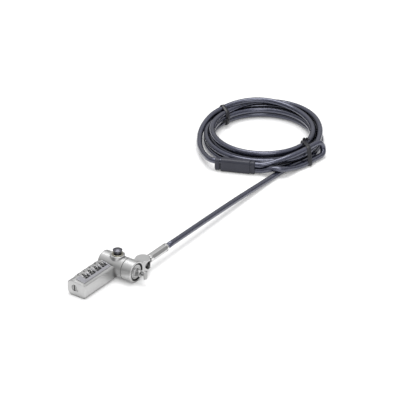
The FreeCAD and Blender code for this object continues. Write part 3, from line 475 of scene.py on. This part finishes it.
def crossings(line, base, across, along):
    """Where the cable passes a tie: distance across and height, at its middle and at both edges."""
    found = []
    for offset in (-strap_edge * MM, 0, strap_edge * MM):
        for p, q in zip(line, line[1:]):
            before = (p - base).dot(along) - offset
            after = (q - base).dot(along) - offset
            if before * after <= 0 and before != after and (p - base).length < tie_reach * MM:
                m = p + (q - p) * (before / (before - after))
                found.append(((m - base).dot(across), m.z))
    return found


def bend(a, b, c):
    """Sine of the turn to the left at b."""
    u = Vector(b) - Vector(a)
    v = Vector(c) - Vector(b)
    return (u.x * v.y - u.y * v.x) / (u.length * v.length + 1e-12)


def hull(points):
    """Corners of the smallest outline round flat points, anticlockwise."""
    points = sorted(points)

    def chain(row):
        kept = []
        for p in row:
            while len(kept) > 1 and bend(kept[-2], kept[-1], p) < least_bend:
                kept.pop()
            kept.append(p)
        return kept[:-1]

    return chain(points) + chain(points[::-1])


def taut_outline(corners):
    """Stations of a taut line round the hull: corner, and the direction outwards."""
    count = len(corners)
    angles = []
    for k in range(count):
        edge = Vector(corners[(k + 1) % count]) - Vector(corners[k])
        angles.append(math.atan2(-edge.x, edge.y))
    outline = []
    for k in range(count):
        first = angles[k - 1]
        turn = (angles[k] - first) % (2 * math.pi)
        for i in range(corner_steps + 1):
            a = first + turn * i / corner_steps
            outline.append((Vector(corners[k]), Vector((math.cos(a), math.sin(a)))))
    return outline


def strap_mesh(name, outline, to_space):
    """Closed strap with a wire ridge along its middle."""
    bm = bmesh.new()
    rows = []
    for corner, way in outline:
        row = []
        for across, height in strap:
            p = corner + way * (cable_r + tie_slack + height) * MM
            row.append(bm.verts.new(to_space(p.x, p.y, across * MM)))
        rows.append(row)
    for k in range(len(rows)):
        a = rows[k]
        b = rows[(k + 1) % len(rows)]
        for i in range(len(strap)):
            n = (i + 1) % len(strap)
            bm.faces.new((a[i], b[i], b[n], a[n])).smooth = True
    bmesh.ops.remove_doubles(bm, verts=bm.verts, dist=1e-6)
    bmesh.ops.recalc_face_normals(bm, faces=bm.faces)
    mesh = bpy.data.meshes.new(name)
    bm.to_mesh(mesh)
    bm.free()
    return mesh


def knot_lines(middle, way, up):
    """Both ends of a tie, twisted round each other and spread a little at their tips."""
    side = way.cross(up)
    lines = []
    for phase in (0, math.pi):
        line = []
        for k in range(knot_steps + 1):
            t = k / knot_steps
            apart = max(0.0, t - together_share) / (1 - together_share)
            spread = knot_wire * (1 + tip_spread * apart)
            a = phase + 2 * math.pi * knot_turns * min(t, twist_share)
            offset = side * math.cos(a) + up * math.sin(a)
            line.append(middle + (way * knot_length * t + offset * spread) * MM)
        lines.append(line)
    return lines


def tie(node, turns, line, knot_side, knot_way, material):
    """Strap pulled tight round the strands at one place, with its twisted ends on that side of it."""
    inner = place(*beside_coil(turns[0], -2 * coil_pitch, 0))
    outer = place(*beside_coil(turns[1], coil_pitch, 0))
    across = (outer - inner).normalized()
    along = Vector((0, 0, 1)).cross(across)
    middle = (inner + outer) / 2

    def to_space(a, z, b=0.0):
        return middle + across * a + Vector((0, 0, z)) + along * b

    corners = hull(crossings(line, middle, across, along))
    name = node.replace("tie", "strap")
    meshes = [strap_mesh(name, taut_outline(corners), to_space)]
    out = Vector(knot_side).normalized()
    corner = max((Vector(c) for c in corners), key=out.dot)
    start = corner + out * (cable_r + tie_slack + strap_height + knot_wire) * MM
    way = (across * knot_way[0] + Vector((0, 0, knot_way[1])) + along * knot_way[2]).normalized()
    up = across * out.x + Vector((0, 0, out.y))
    up = (up - way * up.dot(way)).normalized()
    for number, wire in enumerate(knot_lines(to_space(start.x, start.y), way, up)):
        meshes.append(tube_mesh("%s_end_%d" % (name, number + 1), wire, knot_wire * MM, wire_sides))
    pieces = [link(mesh.name, mesh, "cable", material) for mesh in meshes]
    for piece in pieces:
        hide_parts(node)
    return pieces


# Materials


class Nodes:
    """Short way to build the node tree of a material or of the world."""

    def __init__(self, owner):
        owner.use_nodes = True
        self.owner = owner
        self.tree = owner.node_tree
        self.tree.nodes.clear()

    def add(self, kind, **values):
        """A node with its settings and inputs; an underscore stands for a space in an input's name."""
        node = self.tree.nodes.new(kind)
        for key, value in values.items():
            if hasattr(node, key):
                setattr(node, key, value)
            else:
                node.inputs[key.replace("_", " ")].default_value = value
        return node

    def join(self, out, into):
        """Joins an output to an input."""
        self.tree.links.new(out, into)

    def ramp(self, source, stops):
        """Colours at those positions, blended between them."""
        node = self.add("ShaderNodeValToRGB")
        elements = node.color_ramp.elements
        while len(elements) < len(stops):
            elements.new(0.5)
        for element, (position, value) in zip(elements, stops):
            element.position = position
            element.color = (*value, 1)
        self.join(source, node.inputs["Fac"])
        return node.outputs["Color"]

    def blend(self, kind, first, second):
        """Two colours multiplied or added."""
        mix = self.add("ShaderNodeMix", data_type="RGBA", blend_type=kind)
        mix.inputs["Factor"].default_value = 1.0
        self.join(first, mix.inputs[mix_first])
        self.join(second, mix.inputs[mix_second])
        return mix.outputs[mix_result]

    def math(self, kind, *sources):
        """One calculation; each source is a number or another node's output."""
        node = self.add("ShaderNodeMath", operation=kind)
        for source, socket in zip(sources, node.inputs):
            if isinstance(source, (int, float)):
                socket.default_value = source
            else:
                self.join(source, socket)
        return node.outputs[0]

    def noise(self, vector, **values):
        """Soft random grey over those coordinates."""
        node = self.add("ShaderNodeTexNoise", **values)
        self.join(vector, node.inputs["Vector"])
        return node.outputs["Fac"]

    def bump(self, height, strength):
        """Node that shades small heights; its normal input stays free."""
        node = self.add("ShaderNodeBump", Strength=strength, Distance=bump_height)
        self.join(height, node.inputs["Height"])
        return node

    def finish(self, shader):
        """Ends a material's tree and gives the material."""
        output = self.add("ShaderNodeOutputMaterial")
        self.join(shader.outputs[0], output.inputs["Surface"])
        return self.owner


def cavity(n, shade_depth, shade_reach):
    """Painted shade: darker where another surface stands close by, as shade falls there."""
    shade = n.add("ShaderNodeAmbientOcclusion", samples=8, Distance=shade_reach)
    return n.ramp(shade.outputs["AO"], [(0.3, grey(1 - shade_depth)), (0.93, grey(1))])


def wear(n, rounded, edge):
    """Painted highlight: brighter where the rounded normal leaves the true one, as along edges that catch the
    light.
    """
    geometry = n.add("ShaderNodeNewGeometry")
    turned = n.add("ShaderNodeVectorMath", operation="DOT_PRODUCT")
    n.join(rounded, turned.inputs[0])
    n.join(geometry.outputs["Normal"], turned.inputs[1])
    return n.ramp(turned.outputs["Value"], [(edge_highlight_angles[0], grey(edge)), (edge_highlight_angles[1], grey(0))])


def surface(name, dark, light, roughness, metallic, grain, grain_scale, edge=0.0, shade_depth=0.5,
            shade_reach=0.003, specular=0.5, stretch=(1, 1, 1)):
    """Shader whose colour and gloss vary slowly, with a fine grain, a painted highlight along edges and
    painted shade near other surfaces.
    """
    n = Nodes(bpy.data.materials.new(name))
    coordinates = n.add("ShaderNodeTexCoord").outputs["Object"]
    mapping = n.add("ShaderNodeMapping", Scale=stretch)
    n.join(coordinates, mapping.inputs["Vector"])
    broad = n.noise(coordinates, Scale=60.0, Detail=4.0, Roughness=0.6)
    fine = n.noise(mapping.outputs["Vector"], Scale=grain_scale, Detail=3.0, Roughness=0.7)
    rounded = n.add("ShaderNodeBevel", samples=4, Radius=edge_rounding).outputs["Normal"]
    colour = n.ramp(broad, [(0.3, dark), (0.7, light)])
    # painted shade: the colour darkens where other surfaces stand close by
    colour = n.blend("MULTIPLY", colour, cavity(n, shade_depth, shade_reach))
    # painted highlight added to the colour along the edges
    if edge > 0:
        colour = n.blend("ADD", colour, wear(n, rounded, edge))
    shader = n.add("ShaderNodeBsdfPrincipled", Metallic=metallic, Specular_IOR_Level=specular)
    n.join(colour, shader.inputs["Base Color"])
    smoother = grey(roughness * (1 - gloss_swing))
    rougher = grey(roughness * (1 + gloss_swing))
    n.join(n.ramp(fine, [(0.25, smoother), (0.75, rougher)]), shader.inputs["Roughness"])
    bump = n.bump(fine, grain)
    n.join(rounded, bump.inputs["Normal"])
    n.join(bump.outputs["Normal"], shader.inputs["Normal"])
    return n.finish(shader)


def rope_lines(n, coordinates):
    """Waves that wind along the cable as the strands of its rope do, from 0 to 1."""
    split = n.add("ShaderNodeSeparateXYZ")
    n.join(coordinates, split.inputs[0])
    round_it = n.math("MULTIPLY", split.outputs["X"], rope_strands)
    along = n.math("MULTIPLY", split.outputs["Y"], 1 / (rope_lay * MM))
    turned = n.math("MULTIPLY", n.math("ADD", round_it, along), 2 * math.pi)
    return n.math("MULTIPLY_ADD", n.math("SINE", turned), 0.5, 0.5)


def vinyl():
    """Smoke coloured vinyl with the twisted steel rope showing faintly under it."""
    n = Nodes(bpy.data.materials.new("smoke_vinyl"))
    coordinates = n.add("ShaderNodeTexCoord")
    strands = rope_lines(n, coordinates.outputs["UV"])
    broad = n.noise(coordinates.outputs["Object"], Scale=110.0, Detail=4.0)
    fine = n.noise(coordinates.outputs["Object"], Scale=1400.0, Detail=2.0)
    tint = n.ramp(broad, [(0.3, vinyl_dark), (0.7, vinyl_light)])
    rope = n.ramp(strands, [(0.1, grey(0.45)), (0.9, grey(1.0))])
    speckle = n.ramp(fine, [(0.3, grey(0.8)), (0.7, grey(1.0))])
    colour = n.blend("MULTIPLY", n.blend("MULTIPLY", tint, rope), speckle)
    # painted shade where strands and other parts stand close by
    colour = n.blend("MULTIPLY", colour, cavity(n, shade_depth=0.9, shade_reach=0.005))
    shader = n.add("ShaderNodeBsdfPrincipled", Specular_IOR_Level=1.0, Specular_Tint=vinyl_sheen,
                   Coat_Weight=0.6, Coat_IOR=1.65, Coat_Roughness=0.1)
    n.join(colour, shader.inputs["Base Color"])
    n.join(n.ramp(broad, [(0.3, grey(0.2)), (0.7, grey(0.3))]), shader.inputs["Roughness"])
    n.join(n.bump(strands, 0.22).outputs["Normal"], shader.inputs["Normal"])
    return n.finish(shader)


def dress_nodes(made):
    """Gives every rigid CAD node that shows its finish."""
    for finish, names in finished_nodes.items():
        for name in names:
            mesh = nodes[name].data
            mesh.materials.clear()
            mesh.materials.append(made[finish])


# The button's spring


def button_spring(steel):
    """Round wire spring under the button, in place of the CAD spring."""
    line = []
    for k in range(spring_steps + 1):
        t = k / spring_steps
        a = 2 * math.pi * spring_turns * t
        z = spring_low + (spring_high - spring_low) * t
        line.append(place(button_x + spring_radius * math.cos(a), barrel_y + spring_radius * math.sin(a), z))
    mesh = tube_mesh("spring_wire", line, spring_wire / 2 * MM, spring_sides)
    obj = link("spring_wire", mesh, "housing", steel)
    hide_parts("button_spring")
    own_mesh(obj)


# Numbers on the wheels


def digit_mesh(text, height, stroke):
    """Flat outline of one number, centred, in millimetres; stroke makes it bolder."""
    font = bpy.data.curves.new("digit", "FONT")
    font.body = text
    font.align_x = "CENTER"
    font.align_y = "CENTER"
    font.size = height / capital_share
    font.offset = stroke
    obj = bpy.data.objects.new("digit", font)
    mesh = bpy.data.meshes.new_from_object(obj)
    bpy.data.objects.remove(obj)
    bpy.data.curves.remove(font)
    return mesh


def number_wheel(index, ink):
    """All ten numbers of one wheel, bent round it just above its lands."""
    bm = bmesh.new()
    y = first_dial_y + dial_pitch * index
    for k in range(digits):
        flat = digit_mesh(str(k), digit_height, digit_stroke)
        start = len(bm.verts)
        bm.from_mesh(flat)
        bm.verts.ensure_lookup_table()
        for v in bm.verts[start:]:
            angle = math.radians(first_digit - 360 / digits * k) - v.co.y / dial_radius
            r = dial_radius + digit_lift
            across = y + v.co.x * digit_width
            v.co = place(dial_x + r * math.sin(angle), across, dial_z + r * math.cos(angle))
        bpy.data.meshes.remove(flat)
    name = "numbers_%d" % (index + 1)
    mesh = bpy.data.meshes.new(name)
    bm.to_mesh(mesh)
    bm.free()
    link(name, mesh, "wheel_%d" % (index + 1), ink)


# The cable and what is on it


def cable(strap_black):
    """The whole cable as one tube, and the ties that hold its coil."""
    line = smooth_line(cable_route())
    mesh = tube_mesh("cable_vinyl", line, cable_r * MM, cable_sides)
    obj = link("cable_vinyl", mesh, "cable", vinyl())
    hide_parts("cable_straight", "cable_coil", "cable_tail", "cable_loop", "cable_sleeved")
    on_cable = [nodes[n] for n in ("ferrule", "loop_sleeve", "loop_crimp")]
    on_cable += tie("tie_front", tie_front, line, front_knot_side, front_knot_way, strap_black)
    on_cable += tie("tie_back", tie_back, line, back_knot_side, back_knot_way, strap_black)


# Floor and light


def floor():
    """Plain pale floor that also shows bright in the metal."""
    mesh = bpy.data.meshes.new("floor")
    bm = bmesh.new()
    bmesh.ops.create_grid(bm, x_segments=1, y_segments=1, size=floor_reach)
    bm.to_mesh(mesh)
    bm.free()
    obj = bpy.data.objects.new("floor", mesh)
    bpy.context.scene.collection.objects.link(obj)
    n = Nodes(bpy.data.materials.new("floor"))
    path = n.add("ShaderNodeLightPath")
    seen = n.math("MAXIMUM", path.outputs["Is Camera Ray"], path.outputs["Is Glossy Ray"])
    seen = n.math("MAXIMUM", seen, path.outputs["Is Transmission Ray"])
    diffuse = n.add("ShaderNodeBsdfDiffuse", Color=(*grey(floor_grey), 1))
    glow = n.add("ShaderNodeEmission")
    n.join(n.math("MULTIPLY", seen, floor_glow), glow.inputs["Strength"])
    total = n.add("ShaderNodeAddShader")
    n.join(diffuse.outputs["BSDF"], total.inputs[0])
    n.join(glow.outputs["Emission"], total.inputs[1])
    mesh.materials.append(n.finish(total))


def lamp(name, position, size, energy):
    """Round soft lamp."""
    data = bpy.data.lights.new(name, "AREA")
    data.shape = "DISK"
    data.size = size
    data.energy = energy
    obj = bpy.data.objects.new(name, data)
    p = Vector(position)
    obj.location = p
    obj.rotation_euler = (Vector(lamp_aim) - p).to_track_quat("-Z", "Y").to_euler()
    bpy.context.scene.collection.objects.link(obj)


def world():
    """White to the camera; in the metal it is bright above and greyer towards the horizon."""
    bpy.context.scene.world = bpy.data.worlds.new("world")
    n = Nodes(bpy.context.scene.world)
    coordinates = n.add("ShaderNodeTexCoord")
    split = n.add("ShaderNodeSeparateXYZ")
    n.join(coordinates.outputs["Generated"], split.inputs[0])
    sky = n.ramp(split.outputs["Z"], [(height, grey(v)) for height, v in sky_greys])
    path = n.add("ShaderNodeLightPath")
    mix = n.add("ShaderNodeMix", data_type="RGBA")
    n.join(path.outputs["Is Camera Ray"], mix.inputs["Factor"])
    n.join(sky, mix.inputs[mix_first])
    mix.inputs[mix_second].default_value = (*grey(1), 1)
    background = n.add("ShaderNodeBackground")
    n.join(mix.outputs[mix_result], background.inputs["Color"])
    output = n.add("ShaderNodeOutputWorld")
    n.join(background.outputs["Background"], output.inputs["Surface"])


camera()
materials = {name: surface(name, **values) for name, values in finishes.items()}
cable(materials["tie_plastic"])
button_spring(materials["plain_steel"])
dress_nodes(materials)
for index in range(dial_count):
    number_wheel(index, materials["number_ink"])
floor()
world()
for values in lamps:
    lamp(*values)
bpy.context.scene.view_settings.view_transform = "Standard"
